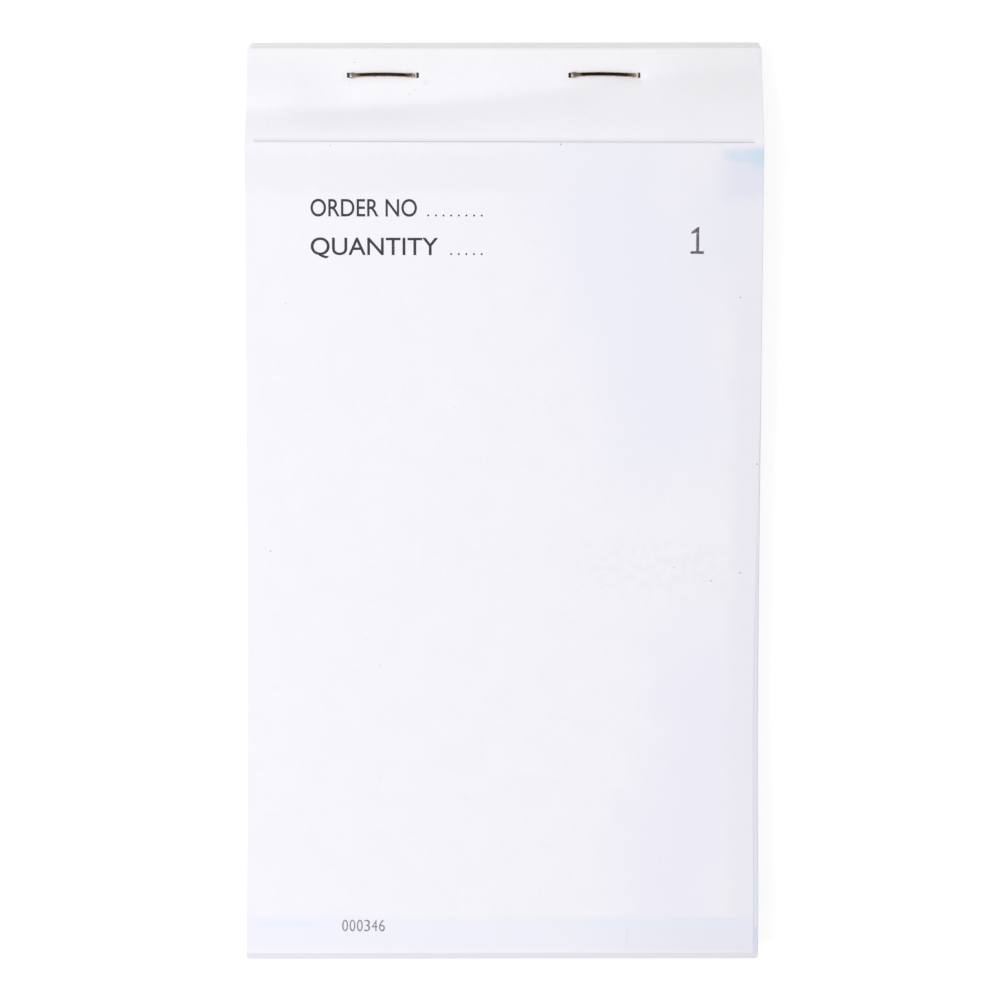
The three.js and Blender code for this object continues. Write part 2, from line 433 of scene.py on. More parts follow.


# %% [markdown]
# ## Where each sheet lies
# All the sheets were cut together, but a pad that has been handled creeps: small packs of sheets stick
# together and slide a tenth of a millimetre over the next pack. That is what draws the fine lines along
# the pad's two ends. At the loose end only the top forms stand back, and at the stitched end more than
# half of the stack leans. The guillotine cut both ends a little out of square, and each edge has a grey
# of its own, partly from the knife and partly painted shade between the sheets. The top form's stitched
# edge is bowed, and its first sheet's right edge draws in.

# %% Creep of the sheets
random.seed(7)
paper_thickness = 0.062
top_slant_sheets, stepped = 58, 0.6  # how many sheets lean at the stitched end, and how much in steps
tip_steps = {1: tip_setback, 2: 0.82, 3: 0.34, 4: 0.05, 5: 0.0}  # how far each form stands back
pack_starts = [0, 2, 4, 7, 16, 31, 47, 58, 79]
pack_slide, pack_turn, sheet_slide = 0.08, 0.0007, 0.035  # the most that packs and sheets slide and turn
pack_shifts = [random.uniform(-pack_slide, pack_slide) for _ in pack_starts]
pack_turns = [random.uniform(-pack_turn, pack_turn) for _ in pack_starts]
sheet_shifts = [random.uniform(-sheet_slide, sheet_slide) for _ in range(sheet_count)]
clump_shade, sheet_shade = 0.35, 0.3
clump_shades = [random.uniform(0, clump_shade) for _ in range(sheet_count)]
edge_shades = [clump_shades[s // 4] + clump_shades[-1 - s // 11] + random.uniform(0, sheet_shade)
               for s in range(sheet_count)]  # how grey each sheet's edge is: partly from the knife, partly painted shade between sheets
askew, askew_from, askew_over = 0.8, 0.28, 0.4  # how far the top leaf's right edge draws in, and where
corner_radius = 0.5
cut_slant, cut_longer = 0.0036, 0.12  # how far the two ends are cut out of square, and too long
bow_x = [-50, -20, 0, 18, 38, 46, 50]
bow_depth = [0.2, 0.2, 0.33, 0.43, 0.25, 0.0, 0.0]  # how far the top form's stitched edge bows in
print("packs start at sheets", pack_starts, "and slide by", [round(shift, 2) for shift in pack_shifts])


# %% Where a sheet's edges lie
def pack_of(sheet):
    """The pack that a sheet sticks to."""
    return max(i for i, first in enumerate(pack_starts) if sheet >= first)


def stub_end(sheet):
    """Where a sheet's stitched edge is."""
    first = pack_starts[pack_of(sheet)]
    leaning = stepped * first + (1 - stepped) * sheet
    back = top_setback * max(0, 1 - leaning / top_slant_sheets)
    return top_edge - back - abs(sheet_shifts[sheet])


def leaf_end(sheet):
    """Where a sheet's loose edge is."""
    back = tip_steps.get(sheet // 2 + 1, 0)
    return tip_edge + back + abs(sheet_shifts[sheet])


def cut_askew(x, y):
    """How far the slanting cut moves a place along the pad: not at the perforation, most at the ends."""
    up = np.clip((y - perforation_y) / (top_edge - perforation_y), 0, 1)
    down = np.clip((perforation_y - y) / (perforation_y - tip_edge), 0, 1)
    return cut_slant * x * (up + down) + cut_longer * (up - down)


def laid(sheet, end, inward):
    """A function that puts a flat sheet's points where they lie, with the end's corners rounded."""
    shift = pack_shifts[pack_of(sheet)] + sheet_shifts[sheet]
    turn = pack_turns[pack_of(sheet)]

    def place(x, y):
        beyond = np.maximum(np.abs(x) - (half_width - corner_radius), 0) / corner_radius
        drawn_in = corner_radius * (1 - np.sqrt(np.maximum(1 - beyond**2, 0)))
        moved_y = y + inward * drawn_in * (np.abs(y - end) < corner_radius / 2)
        moved_y = moved_y + cut_askew(x, y)
        moved_x = x + shift + turn * (y - staple_y)
        if sheet < 2:
            towards_edge = np.clip((y - staple_y) / (top_edge - staple_y), 0, 1)
            moved_y = moved_y - np.interp(x, bow_x, bow_depth) * towards_edge
        if sheet == 0:
            along = np.clip((perforation_y - y) / (perforation_y - tip_edge), 0, 1)
            drawn = np.clip((along - askew_from) / askew_over, 0, 1)
            drawn = drawn**2 * (3 - 2 * drawn)
            moved_x = moved_x - askew * drawn * (x + half_width) / (2 * half_width)
        return moved_x, moved_y, level_height(sheet, moved_x, y)

    return place


# %% [markdown]
# The perforating wheel's teeth leave a row of slits with small ties between them, and the paper stays
# whole just inside both sides. A real tie is finer than a pixel here, so the pitch is drawn at half a
# millimetre, which still reads as one thin line from above and as a row of teeth close up.

# %% Leaf and stub of one sheet
tie_pitch, tie_width = 0.5, 0.18
slit_width = 0.075
leg_hole = (0.27, 0.5)  # half the size of a staple's hole, across and along the pad
leg_rows = staple_y - 0.15
edge_columns = np.array([0.05, 0.15, 0.3, 0.5])
leaf_columns, stub_columns = 9, 33
leaf_rows_near = np.array([slit_width / 2, 0.15, 0.3, 0.5, 0.9, 1.5, 2.3, 3.4, 4.6, 6.0])
stub_rows_near = np.array([slit_width / 2, 0.15, 0.3, 0.45, 0.6, 0.8, 1.05, 1.4, 2.0])
groove_rows = np.array([-1.6, -1.1, -0.7, 0, 0.7, 1.1, 1.6])
finest_step = 0.02


def in_order(lines):
    """Grid lines in order, without those that lie too close to the one before."""
    lines = np.unique(np.round(lines, 3))
    return lines[np.concatenate([[True], np.diff(lines) > finest_step])]


def columns_across(count, tied, extra):
    """Grid lines across the sheet: evenly spaced or at each tie, and finer at the rounded corners."""
    lines = [np.linspace(-half_width, half_width, count), half_width - edge_columns,
             edge_columns - half_width, np.array(extra)]
    if tied:
        ties = np.arange(-half_width + tie_pitch / 2, half_width, tie_pitch)
        lines += [ties - tie_width / 2, ties + tie_width / 2]
    return in_order(np.concatenate(lines))


def tie_row(xs):
    """Which cells of the row at the perforation are paper: the ties and the two whole ends."""
    middle = (xs[:-1] + xs[1:]) / 2
    tied = np.abs((middle + half_width) % tie_pitch - tie_pitch / 2) < tie_width / 2
    return tied | (np.abs(middle) > half_width - uncut_ends)


def leaf_of(sheet, tied, rows):
    """The leaf of a sheet, with the halves of its ties at the perforation if tied."""
    end = leaf_end(sheet)
    xs = columns_across(leaf_columns, tied, [])
    near = perforation_y - leaf_rows_near
    ys = np.concatenate([[end, end + 0.3], np.linspace(end + 0.6, near[-1], rows), near[::-1][1:]])
    cells = np.ones((len(ys) - 1, len(xs) - 1), bool)
    if tied:
        ys = np.append(ys, perforation_y)
        cells = np.concatenate([cells, tie_row(xs)[None]])
    return grid_solid(xs, ys, cells, laid(sheet, end, 1), paper_thickness)


def stub_of(sheet, tied, rows):
    """The stub of a sheet, with holes for the staples' legs."""
    end = stub_end(sheet)
    legs = [low[0] + wire_thickness / 2 for low, high in staple_boxes.values()]
    legs += [high[0] - wire_thickness / 2 for low, high in staple_boxes.values()]
    sides = [leg + side * leg_hole[0] for leg in legs for side in (-1, 1)]
    xs = columns_across(stub_columns, tied, sides)
    near = perforation_y + stub_rows_near
    hole_rows = [leg_rows - leg_hole[1], leg_rows + leg_hole[1]]
    grooves = staple_y + groove_rows
    ys = in_order([*near, *np.linspace(near[-1], end - 0.3, rows)[1:], end, *hole_rows, *grooves])
    cells = np.ones((len(ys) - 1, len(xs) - 1), bool)
    middle_x, middle_y = (xs[:-1] + xs[1:]) / 2, (ys[:-1] + ys[1:]) / 2
    for leg in legs:
        pierced = np.ix_(np.abs(middle_y - leg_rows) < leg_hole[1], np.abs(middle_x - leg) < leg_hole[0])
        cells[pierced] = False
    if tied:
        ys = np.concatenate([[perforation_y], ys])
        cells = np.concatenate([tie_row(xs)[None], cells])
    return grid_solid(xs, ys, cells, laid(sheet, end, -1), paper_thickness)


print("ties along each perforation:", round(2 * half_width / tie_pitch))

# %% [markdown]
# ## Paper
# Carbonless paper is a smooth uncoated sheet of about 56 g/m2, whitened so strongly that it looks a
# little violet. Its back is covered with capsules of dye so small that any knock breaks some, and they
# leave pale blue bruises: at the corners, along the edges and wherever the pad was pressed. Other
# patches are painted shade. The loose ends of the leaves are greyer, for the shade among their staggered
# edges. A grey line along the perforation stands for the shade in its slits. The stub's right end is
# darker where the lamp gives less light, and a grey spot by a staple is the shade of a dent. Just below
# the perforation the leaf is a little darker. The stub's paper is painted a little lighter than the
# leaf's, as painted light. A texture painted by hand could show all that, but soft patches in the
# material need no picture and stay with the paper.


# %% Soft patches
def soft_patch(tree, place, colour, tone, centre, half, soft, amount=1.0, turned=0, broken=0.0,
               grain=1.0, wander=0.0):
    """Mixes tone over colour inside a turned rectangle whose soft edges wander, broken up by a noise."""
    if wander:
        stray = {"Vector": place, "Scale": 1 / (3 * wander), "Detail": 3.0}
        stray = add(tree, "TexNoise", stray)
        stray = add(tree, "VectorMath", {0: stray.outputs["Color"], 1: (0.5,) * 3},
                    operation="SUBTRACT")
        place = add(tree, "VectorMath", {0: stray, 1: (4 * wander,) * 3, 2: place},
                    operation="MULTIPLY_ADD")
    local = add(tree, "Mapping", {"Vector": place, "Location": (*centre, 0),
                "Rotation": (0, 0, math.radians(turned)), "Scale": (*half, 1)}, vector_type="TEXTURE")
    away = add(tree, "VectorMath", {0: local}, operation="ABSOLUTE")
    split = add(tree, "SeparateXYZ", {0: away})
    mask = None
    for axis, reach, fade in zip("XY", half, soft):
        edge = {"Value": split.outputs[axis], "From Min": 1 + fade / reach, "From Max": 1 - fade / reach}
        edge = add(tree, "MapRange", edge, interpolation_type="SMOOTHSTEP")
        mask = add(tree, "Math", {0: edge, 1: mask}, operation="MULTIPLY") if mask else edge
    noise = add(tree, "TexNoise", {"Vector": place, "Scale": 1 / grain, "Detail": 3.0})
    whole = {"Value": noise, "From Min": 0.42, "From Max": 0.62, "To Min": amount * (1 - broken),
             "To Max": amount}
    whole = add(tree, "MapRange", whole)
    mask = add(tree, "Math", {0: mask, 1: whole}, operation="MULTIPLY")
    return add(tree, "Mix", {0: mask, 6: colour, 7: linear(tone)}, data_type="RGBA").outputs[2]


# %% Paper
def cut_edges_and_painted_shade(tree, place, colour):
    """Greys the upright faces, partly as the cut's own tone and partly as painted shade between the sheets: each
    sheet by its own shade, and across the sheets by knife marks.
    """
    knife_mm, knife_long_mm = 0.3, 6.0
    facing = add(tree, "TexCoord", {}).outputs["Normal"]
    facing = add(tree, "VectorMath", {0: facing}, operation="ABSOLUTE")
    level = add(tree, "SeparateXYZ", {0: facing}).outputs["Z"]
    marks = add(tree, "Mapping", {"Vector": place, "Scale": (1, 1, knife_mm / knife_long_mm)})
    marks = add(tree, "TexNoise", {"Vector": marks, "Scale": 1 / knife_mm, "Detail": 3.0})
    marks = add(tree, "MapRange", {"Value": marks, "From Min": 0.45, "From Max": 0.75,
                "To Max": 0.2})
    shade = add(tree, "Attribute", {}, attribute_name="edge_shade").outputs["Fac"]
    shade = add(tree, "Math", {0: shade, 1: marks}, operation="ADD")
    upright = add(tree, "MapRange", {"Value": level, "From Min": 0.7, "From Max": 0.4})
    grey = add(tree, "Math", {0: upright, 1: shade}, operation="MULTIPLY")
    return add(tree, "Mix", {0: grey, 6: colour, 7: linear("#CFCED3")},
               data_type="RGBA").outputs[2]


def paper(name, tone, cloud_tone, patches=()):
    """Smooth uncoated paper, with its patches of broken dye and of painted light and shade."""
    material, tree = new_material(name)
    place = place_in_mm(tree)
    cloud_mm, fibre_mm, tooth_mm = 6.0, 0.9, 0.22  # a real tooth is finer, and wouldn't show
    clouds = add(tree, "TexNoise", {"Vector": place, "Scale": 1 / cloud_mm, "Detail": 5.0})
    fibres = add(tree, "TexNoise", {"Vector": place, "Scale": 1 / fibre_mm, "Detail": 4.0})
    look = add(tree, "Math", {0: clouds, 1: fibres}, operation="MULTIPLY")
    formation = add(tree, "MapRange", {"Value": look, "From Min": 0.15, "From Max": 0.38})
    colour = add(tree, "Mix", {0: formation, 6: linear(tone), 7: linear(cloud_tone)},
                 data_type="RGBA").outputs[2]
    for *where, how in patches:
        colour = soft_patch(tree, place, colour, *where, **how)
    colour = cut_edges_and_painted_shade(tree, place, colour)
    tooth = add(tree, "TexNoise", {"Vector": place, "Scale": 1 / tooth_mm, "Detail": 3.0})
    bump = add(tree, "Bump", {"Strength": 0.15, "Distance": 0.01 * MM, "Height": tooth})
    shader = {"Base Color": colour, "Roughness": 0.85, "IOR": 1.5, "Specular IOR Level": 0.25,
              "Normal": bump}
    finish_material(tree, "BsdfPrincipled", shader)
    return material


# %% Patches: a tone, its centre, half its size, how soft its edges are, and the rest by name
leaf_patches = [
    ("#EEEEFA", (26, 38), (13, 34), (9, 12), {"turned": 14, "amount": 0.7, "wander": 4.0}),
    ("#EFEDF9", (36, -59), (9, 33), (8, 14), {"turned": -9, "amount": 0.85, "wander": 4.0}),
    ("#EFEEF4", (-25, 63.3), (32, 3.7), (9, 1.3), {"amount": 0.85, "wander": 1.0}),
    ("#E9E9F5", (46.5, 52), (9, 13), (7, 9), {"amount": 0.5, "wander": 2.0}),
    ("#EDECF4", (49.0, -23), (4.6, 66), (2.8, 8), {"amount": 0.9, "wander": 1.0}),
    ("#E0E2F1", (47.8, 62.8), (5.6, 4.2), (3.0, 2.4), {"amount": 0.6, "wander": 0.8}),
    ("#D2E2F3", (48.5, 66.8), (5.8, 1.2), (2.0, 0.8),
     {"amount": 0.8, "broken": 0.2, "grain": 3.0, "wander": 0.25}),
    ("#CFE2F4", (50.5, 66.3), (2.6, 1.9), (1.6, 1.0), {"amount": 0.8}),
    ("#EFEFF9", (0, -84.8), (51, 3.3), (2, 0.6), {"amount": 0.9}),
    ("#E8E8F4", (44, -84.8), (18, 3.3), (16, 0.6), {"amount": 0.8}),
    ("#E9EDFA", (29, -82.9), (18, 0.5), (6, 0.4), {"amount": 0.7, "broken": 0.4, "grain": 3.0}),
    ("#E9EDFA", (-42, -82.9), (8, 0.6), (5, 0.5), {"amount": 0.6}),
    ("#E6E5EE", (30, -13), (15, 5), (8, 4), {"amount": 0.22, "broken": 1.0, "grain": 1.8}),
    ("#E6E6F0", (24.4, -85.6), (0.22, 1.9), (0.2, 0.2), {"amount": 0.6}),
]
stub_patches = [
    ("#DDE6F5", (49.8, 85.9), (0.6, 1.6), (0.5, 1.0), {"amount": 0.6}),
    # painted shade: the right end of the stub is darker, where the lamp on the left gives less light
    ("#F0F0F4", (42, 85), (11, 7), (8, 5), {"amount": 0.7}),
    # painted shade: a small grey spot by the left staple's right end, where a dent lies
    ("#EBEBEE", (-15.3, 81.4), (0.45, 0.45), (0.4, 0.4), {"amount": 0.8}),
    # painted shade: a grey line along the perforation, standing for the shade in its slits
    ("#E6E5EA", (0, perforation_y), (48.1, 0.6), (0.9, 0.55), {"amount": 0.9}),
]
stitched_end = ("#F3F3F2", (0, 90), (60, 3.6), (1, 1.2), {})
# painted shade: the loose ends of the leaves are greyer, standing for the shade among their staggered edges
painted_shade_at_loose_end = ("#E5E4EC", (0, -89.2), (60, 3.2), (1, 1.0), {"amount": 0.9})
copy_patches = [
    ("#E4E4F3", (49.2, -50), (1.6, 41), (0.8, 6), {"amount": 0.9}),
    ("#DEE6F8", (49.4, -77.5), (1.3, 2.2), (0.8, 0.8), {"amount": 0.9}),
    painted_shade_at_loose_end,
    ("#D5E0F1", (49.4, -84.8), (1.3, 1.8), (0.4, 0.4), {"amount": 1.0}),
    ("#E2DCF1", (49.4, -87.6), (1.3, 0.9), (0.4, 0.4), {"amount": 0.9}),
]
pressed_copy_paper = paper("carbonless_copy_paper_of_top_form", "#F2F1F6", "#EFEEF3", copy_patches)
copy_paper = paper("carbonless_copy_paper", "#F1F0F5", "#EFEEF3", [painted_shade_at_loose_end])
copy_stub_paper = paper("carbonless_copy_paper_of_stub", "#F1F0F5", "#EFEEF3", [stitched_end])
# painted light: the stub is the same paper as the leaf, given a lighter tone than the leaf's
stub_paper = paper("carbonless_paper_of_stub_painted_lighter", "#F7F6FA", "#F5F4F9", stub_patches)
original_paper = paper("carbonless_original_paper", "#F4F3F9", "#F2F1F7", leaf_patches)
inner_paper = paper("carbonless_inner_paper", "#F3F2F7", "#F1F0F6", [painted_shade_at_loose_end])
print("patches on the top leaf and stub:", len(leaf_patches), len(stub_patches))

# %% [markdown]
# ## The loose sheets
# The first five forms are separate sheets, an original and a copy each. Each stub stays with the pad.
# A leaf rides on its node's body, so that it turns, except the leaves of the third form and lower, which
# belong to the thick stack: these are left where they lie, with their transform baked into the mesh.

# %% Loose sheets
body_of_node = {node: body for body, held in record["behaviour"]["bodies"].items() for node in held}


def hang_leaf(piece, node):
    """The leaf turns with its node's body, sharply as a single leaf; a leaf of the thick stack only has its
    transform baked in.
    """
    body = body_of_node[node]
    if body == "leaf_stack":
        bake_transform(piece)
    else:
        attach(piece, body)
    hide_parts(node)


for sheet in range(loose_sheets):
    form, ply = sheet // 2 + 1, ("original", "copy")[sheet % 2]
    node = f"form_{form}_{ply}"
    tied = sheet < tied_sheets
    top_papers = (original_paper, pressed_copy_paper)
    leaf_paper = top_papers[sheet] if sheet < 2 else inner_paper if ply == "original" else copy_paper
    leaf_rows, stub_rows = (60, 24) if sheet == 0 else (36, 14)
    leaf = mesh_object(f"{node}_leaf_paper", [leaf_of(sheet, tied, leaf_rows)], leaf_paper,
                       shades=[edge_shades[sheet]])
    hang_leaf(leaf, f"{node}_leaf")
    stub = mesh_object(f"{node}_stub_paper", [stub_of(sheet, tied, stub_rows)],
                       stub_paper if sheet == 0 else copy_stub_paper, shades=[edge_shades[sheet]])
    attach(stub, "pad_base")
    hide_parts(f"{node}_stub")
print("loose sheets", loose_sheets)

# %% [markdown]
# ## The bundles
# The other ninety sheets are three bundles in the solids. Stripes painted on a block would be lighter
# to make, but here every one of them is a sheet of its own, so that the sides catch light as paper does.

# %% Bundles
bundle_leaf_rows, bundle_stub_rows = 20, 9
bundle_edges = np.linspace(loose_sheets, sheet_count, 4).astype(int)
for bundle in range(3):
    sheets = range(bundle_edges[bundle], bundle_edges[bundle + 1])
    name = f"bundle_{bundle + 1}"
    shades = [edge_shades[s] for s in sheets]
    leaves = [leaf_of(s, False, bundle_leaf_rows) for s in sheets]
    leaf = mesh_object(f"{name}_leaf_paper", leaves, copy_paper, shades=shades)
    hang_leaf(leaf, f"{name}_leaf")
    stubs = [stub_of(s, False, bundle_stub_rows) for s in sheets]
    stub = mesh_object(f"{name}_stub_paper", stubs, copy_stub_paper, shades=shades)
    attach(stub, "pad_base")
    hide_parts(f"{name}_stub")
print("bundled sheets", sheet_count - loose_sheets)

# %% [markdown]
# ## The staples
# A stitching machine cuts each staple from a coil of round wire, flattens it and drives it through the
# pad. The crown is square in section where the former held it, and bows a little. At the shoulders the
# wire is bent over a hard corner, which spreads it. There the polished bend catches the light, with a
# painted highlight on each right shoulder and a painted darker tone on each left one. Behind the card
# the two ends are folded inwards. The piece is a section swept along that path, with a width that
# changes.

# %% Wire
section_points = 20
bend_radius = 0.6
crown_hump, end_slack = 0.05, 0.1
shoulder_width, leg_width, tip_width = 1.15, 0.72, 0.5
shoulder_length, shoulder_taper, neck_length = 0.3, 0.93, 0.75
crown_squareness, leg_squareness, tip_pinch = 5.5, 2.6, 0.35
clinch_length, clinch_middle, tip_length = 4.5, 2.0, 0.5
clinch_z = staple_boxes["left"][0][2] + wire_thickness / 2
crown_z = crown_underside + wire_thickness / 2


def wire_path(left, right):
    """Points on the middle of the wire, and the width there, from one folded end to the other."""
    reach = [(left + clinch_length, clinch_z, tip_width),
             (left + clinch_length - tip_length, clinch_z, leg_width),
             (left + clinch_middle, clinch_z, leg_width)]
    corners = [((left + bend_radius, clinch_z + bend_radius), 270, leg_width, leg_width),
               ((left + bend_radius, crown_z - bend_radius), 180, leg_width, shoulder_width)]
    for (x, z), start, width_from, width_to in corners:
        for turned in np.linspace(0, 90, 9):
            angle = math.radians(start - turned)
            width = width_from + (width_to - width_from) * turned / 90
            reach.append((x + bend_radius * math.cos(angle), z + bend_radius * math.sin(angle), width))
    middle = (left + right) / 2
    shoulder, neck = left + bend_radius + shoulder_length, left + bend_radius + neck_length
    reach += [(shoulder, crown_z, shoulder_width * shoulder_taper), (neck, crown_z, wire_width)]
    reach += [(x, crown_z, wire_width) for x in np.linspace(neck, middle, 10)[1:]]
    return reach + [(2 * middle - x, z, width) for x, z, width in reach[-2::-1]]


def rounded(angle, power):
    """A flattened circle's x and y at an angle: a superellipse between a circle and a square."""
    c, s = math.cos(angle), math.sin(angle)
    return math.copysign(abs(c) ** (2 / power), c), math.copysign(abs(s) ** (2 / power), s)


def wire_solid(side):
    """Vertices and faces of one staple."""
    low, high = staple_boxes[side]
    left = low[0] + wire_thickness / 2 + end_slack
    right = high[0] - wire_thickness / 2 - end_slack
    path = wire_path(left, right)
    half_crown = (right - left) / 2
    vertices, faces = [], []
    for i, (x, z, width) in enumerate(path):
        before, after = path[max(i - 1, 0)], path[min(i + 1, len(path) - 1)]
        run, rise = after[0] - before[0], after[1] - before[1]
        length = math.hypot(run, rise)
        normal = (-rise / length, run / length)
        along = (x - (left + right) / 2) / half_crown
        up = min(max((z - clinch_z) / (crown_z - clinch_z), 0), 1)
        lean = (float(crown_line(x, side)) - staple_y) * up
        hump = crown_hump * max(0, 1 - along**2) * (up > 0.99)
        squareness = crown_squareness if up > 0.99 and abs(along) < 0.9 else leg_squareness
        ends = i in (0, len(path) - 1)
        for k in range(section_points):
            across, out = rounded(2 * math.pi * (k + 0.5) / section_points, squareness)
            across *= width / 2
            out *= wire_thickness / 2 * (tip_pinch if ends else 1)
            vertices.append((x + normal[0] * out, staple_y + lean + across, z + normal[1] * out + hump))
    for ring in range(len(path) - 1):
        for k in range(section_points):
            a, b = ring * section_points + k, ring * section_points + (k + 1) % section_points
            faces.append((a, b, b + section_points, a + section_points))
    faces.append(tuple(range(section_points))[::-1])
    last = (len(path) - 1) * section_points
    faces.append(tuple(last + k for k in range(section_points)))
    return np.array(vertices), faces


# %% [markdown]
# The wire is low-carbon steel, drawn bright and flash-coated with bronze so that it doesn't rust. It
# is a metal with a low roughness and fine drawing marks, and a duller brown where the coating has
# rubbed. At each shoulder the tone is painted light: a bright painted highlight on the right shoulder,
# and on the left a duller tone that dims the lamp's highlight there. Beside it the former scuffed the
# crown. Where the wire goes into the paper its end is painted dark, a painted reflection of the shaded
# hole. The scuffs are a soft patch in the roughness, whose grey is the roughness itself.

# %% Bronze-coated wire
wire_material, tree = new_material("bronze_coated_steel_wire")
place = place_in_mm(tree)
drawn_mm, rubbed_mm = 0.05, 0.8  # real drawing marks are finer still
hole_shade_from_end, painted_light_from_end, scuffed_from_end = 0.3, 0.85, 1.5  # from where the staple ends
stretched = add(tree, "Mapping", {"Vector": place, "Scale": (0.08, 1, 1)})
drawn = add(tree, "TexNoise", {"Vector": stretched, "Scale": 1 / drawn_mm, "Detail": 2.0})
rubbed = add(tree, "TexNoise", {"Vector": place, "Scale": 1 / rubbed_mm, "Detail": 3.0})
worn = add(tree, "MapRange", {"Value": rubbed, "From Min": 0.45, "From Max": 0.65})
tone = add(tree, "Mix", {0: worn, 6: linear("#B5A18D"), 7: linear("#7E6B5A")},
           data_type="RGBA").outputs[2]
rough = add(tree, "MapRange", {"Value": worn, "To Min": 0.16, "To Max": 0.26})
for low, high in staple_boxes.values():
    # painted light: a bright painted highlight on the right shoulder, a duller tone dimming the lamp's highlight
    # on the left
    for end_x, inward, shoulder_painted_light in ((low[0], 1, "#9A8F89"), (high[0], -1, "#F7E7D8")):
        hole_shade_place, shoulder, scuff = [(end_x + inward * distance, staple_y) for distance in
                                 (hole_shade_from_end, painted_light_from_end, scuffed_from_end)]
        tone = soft_patch(tree, place, tone, shoulder_painted_light, shoulder, (0.45, 2.0), (0.3, 0.3))
        # painted reflection of the shaded hole: the wire's end is darker where it goes into the paper
        tone = soft_patch(tree, place, tone, "#453F3B", hole_shade_place, (0.2, 2.0), (0.15, 0.3))
        rough = soft_patch(tree, place, rough, "#A8A8A8", scuff, (0.85, 2.0), (0.55, 0.3))
bump = add(tree, "Bump", {"Strength": 0.1, "Distance": 0.002 * MM, "Height": drawn})
shader = {"Base Color": tone, "Metallic": 1.0, "Roughness": rough, "Normal": bump}
finish_material(tree, "BsdfPrincipled", shader)

for side in staple_boxes:
    staple = mesh_object(f"staple_{side}_wire", [wire_solid(side)], wire_material, crease_degrees=60)
    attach(staple, "pad_base")
    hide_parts(f"staple_{side}")
print("staple vertices", len(staple.data.vertices))

# %% [markdown]
# ## The card back
# The back is greyboard, pressed from waste paper: a dull warm grey, with dark flecks and pale fibres
# in it. Its solid is already the right shape, with the beds that the folded wire ends have
# pressed into it, so the piece is a copy of that mesh, with its two ends cut along with the sheets'.

# %% Greyboard
board_material, tree = new_material("greyboard")
place = place_in_mm(tree)
cloud_mm, fleck_mm, fibre_mm = 9.0, 1.1, 0.35
clouds = add(tree, "TexNoise", {"Vector": place, "Scale": 1 / cloud_mm, "Detail": 5.0})
colour = add(tree, "Mix", {0: clouds, 6: linear("#ADA79B"), 7: linear("#BDB8AD")},
             data_type="RGBA").outputs[2]
flecks = add(tree, "TexVoronoi", {"Vector": place, "Scale": 1 / fleck_mm, "Randomness": 1.0})
near = add(tree, "MapRange", {"Value": flecks, "From Min": 0.16, "From Max": 0.08})
colour = add(tree, "Mix", {0: near, 6: colour, 7: linear("#7E776B")},
             data_type="RGBA").outputs[2]
stretched = {"Vector": place, "Scale": (1, 0.25, 1), "Rotation": (0, 0, 0.2)}
stretched = add(tree, "Mapping", stretched)
fibres = add(tree, "TexNoise", {"Vector": stretched, "Scale": 1 / fibre_mm, "Detail": 4.0})
pale = add(tree, "MapRange", {"Value": fibres, "From Min": 0.62, "From Max": 0.72})
colour = add(tree, "Mix", {0: pale, 6: colour, 7: linear("#D2CEC4")},
             data_type="RGBA").outputs[2]
bump = add(tree, "Bump", {"Strength": 0.35, "Distance": 0.04 * MM, "Height": fibres})
shader = {"Base Color": colour, "Roughness": 0.92, "IOR": 1.5, "Specular IOR Level": 0.2,
          "Normal": bump}
finish_material(tree, "BsdfPrincipled", shader)

# %% Card back
board_mesh = nodes["backing_board"].data.copy()
for vertex in board_mesh.vertices:
    vertex.co.y += float(cut_askew(vertex.co.x / MM, vertex.co.y / MM)) * MM
board_mesh.materials.clear()
board_mesh.materials.append(board_material)
board = new_object("greyboard_back", board_mesh)
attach(board, "pad_base")
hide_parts("backing_board")
print("card back corners", len(board_mesh.vertices))

# %% [markdown]
# ## Print
# The forms are printed in one thin black: two lines to fill in, each with a row of dots to write on,
# the number of the ply, and the form's serial number from a numbering machine, whose worn wheels
# print a greyer, broken figure. Letters are outlines from a font, turned to meshes and laid as films, a
# hundredth of a millimetre thick, on the curved sheet, so that they turn with the leaf.


# %% Films on a leaf
film_gap, film_thickness = 0.002, 0.012
letter_steps = 6  # how finely the curves of the letters are cut


def film(points, faces, level=0):
    """A closed thin film that follows the sheet, from flat points in millimetres and their faces."""
    points = np.array(points)
    base = level_height(level, points[:, 0], points[:, 1]) + film_gap
    lower = np.column_stack([points, base])
    upper = np.column_stack([points, base + film_thickness])
    count = len(points)
    made = [tuple(i + count for i in face) for face in faces] + [tuple(face)[::-1] for face in faces]
    edges = [(face[i - 1], face[i]) for face in faces for i in range(len(face))]
    inner = {(b, a) for a, b in edges}
    made += [(a, b, b + count, a + count) for a, b in edges if (a, b) not in inner]
    return np.concatenate([lower, upper]), made


def letters(text, weight):
    """Flat points and faces of a text, one unit wide, with its baseline at 0 and its caps 1 high."""
    curve = bpy.data.curves.new("letters", "FONT")
    curve.body = text
    curve.offset = weight
    curve.resolution_u = letter_steps
    shape = new_object("letters", curve)
    bpy.context.view_layer.update()
    mesh = bpy.data.meshes.new_from_object(shape.evaluated_get(bpy.context.evaluated_depsgraph_get()))
    flat = np.array([vertex.co[:2] for vertex in mesh.vertices])
    faces = [tuple(face.vertices) for face in mesh.polygons]
    bpy.data.objects.remove(shape)
    bpy.data.curves.remove(curve)
    bpy.data.meshes.remove(mesh)
    flat[:, 0] = (flat[:, 0] - flat[:, 0].min()) / np.ptp(flat[:, 0])
    flat[:, 1] /= flat[:, 1].max()
    return flat, faces


def words(text, left, right, baseline, height, weight=0.0):
    """The flat shape of a text whose letters fill the given width and cap height."""
    flat, faces = letters(text, weight)
    return np.array([left, baseline]) + flat * np.array([right - left, height]), faces


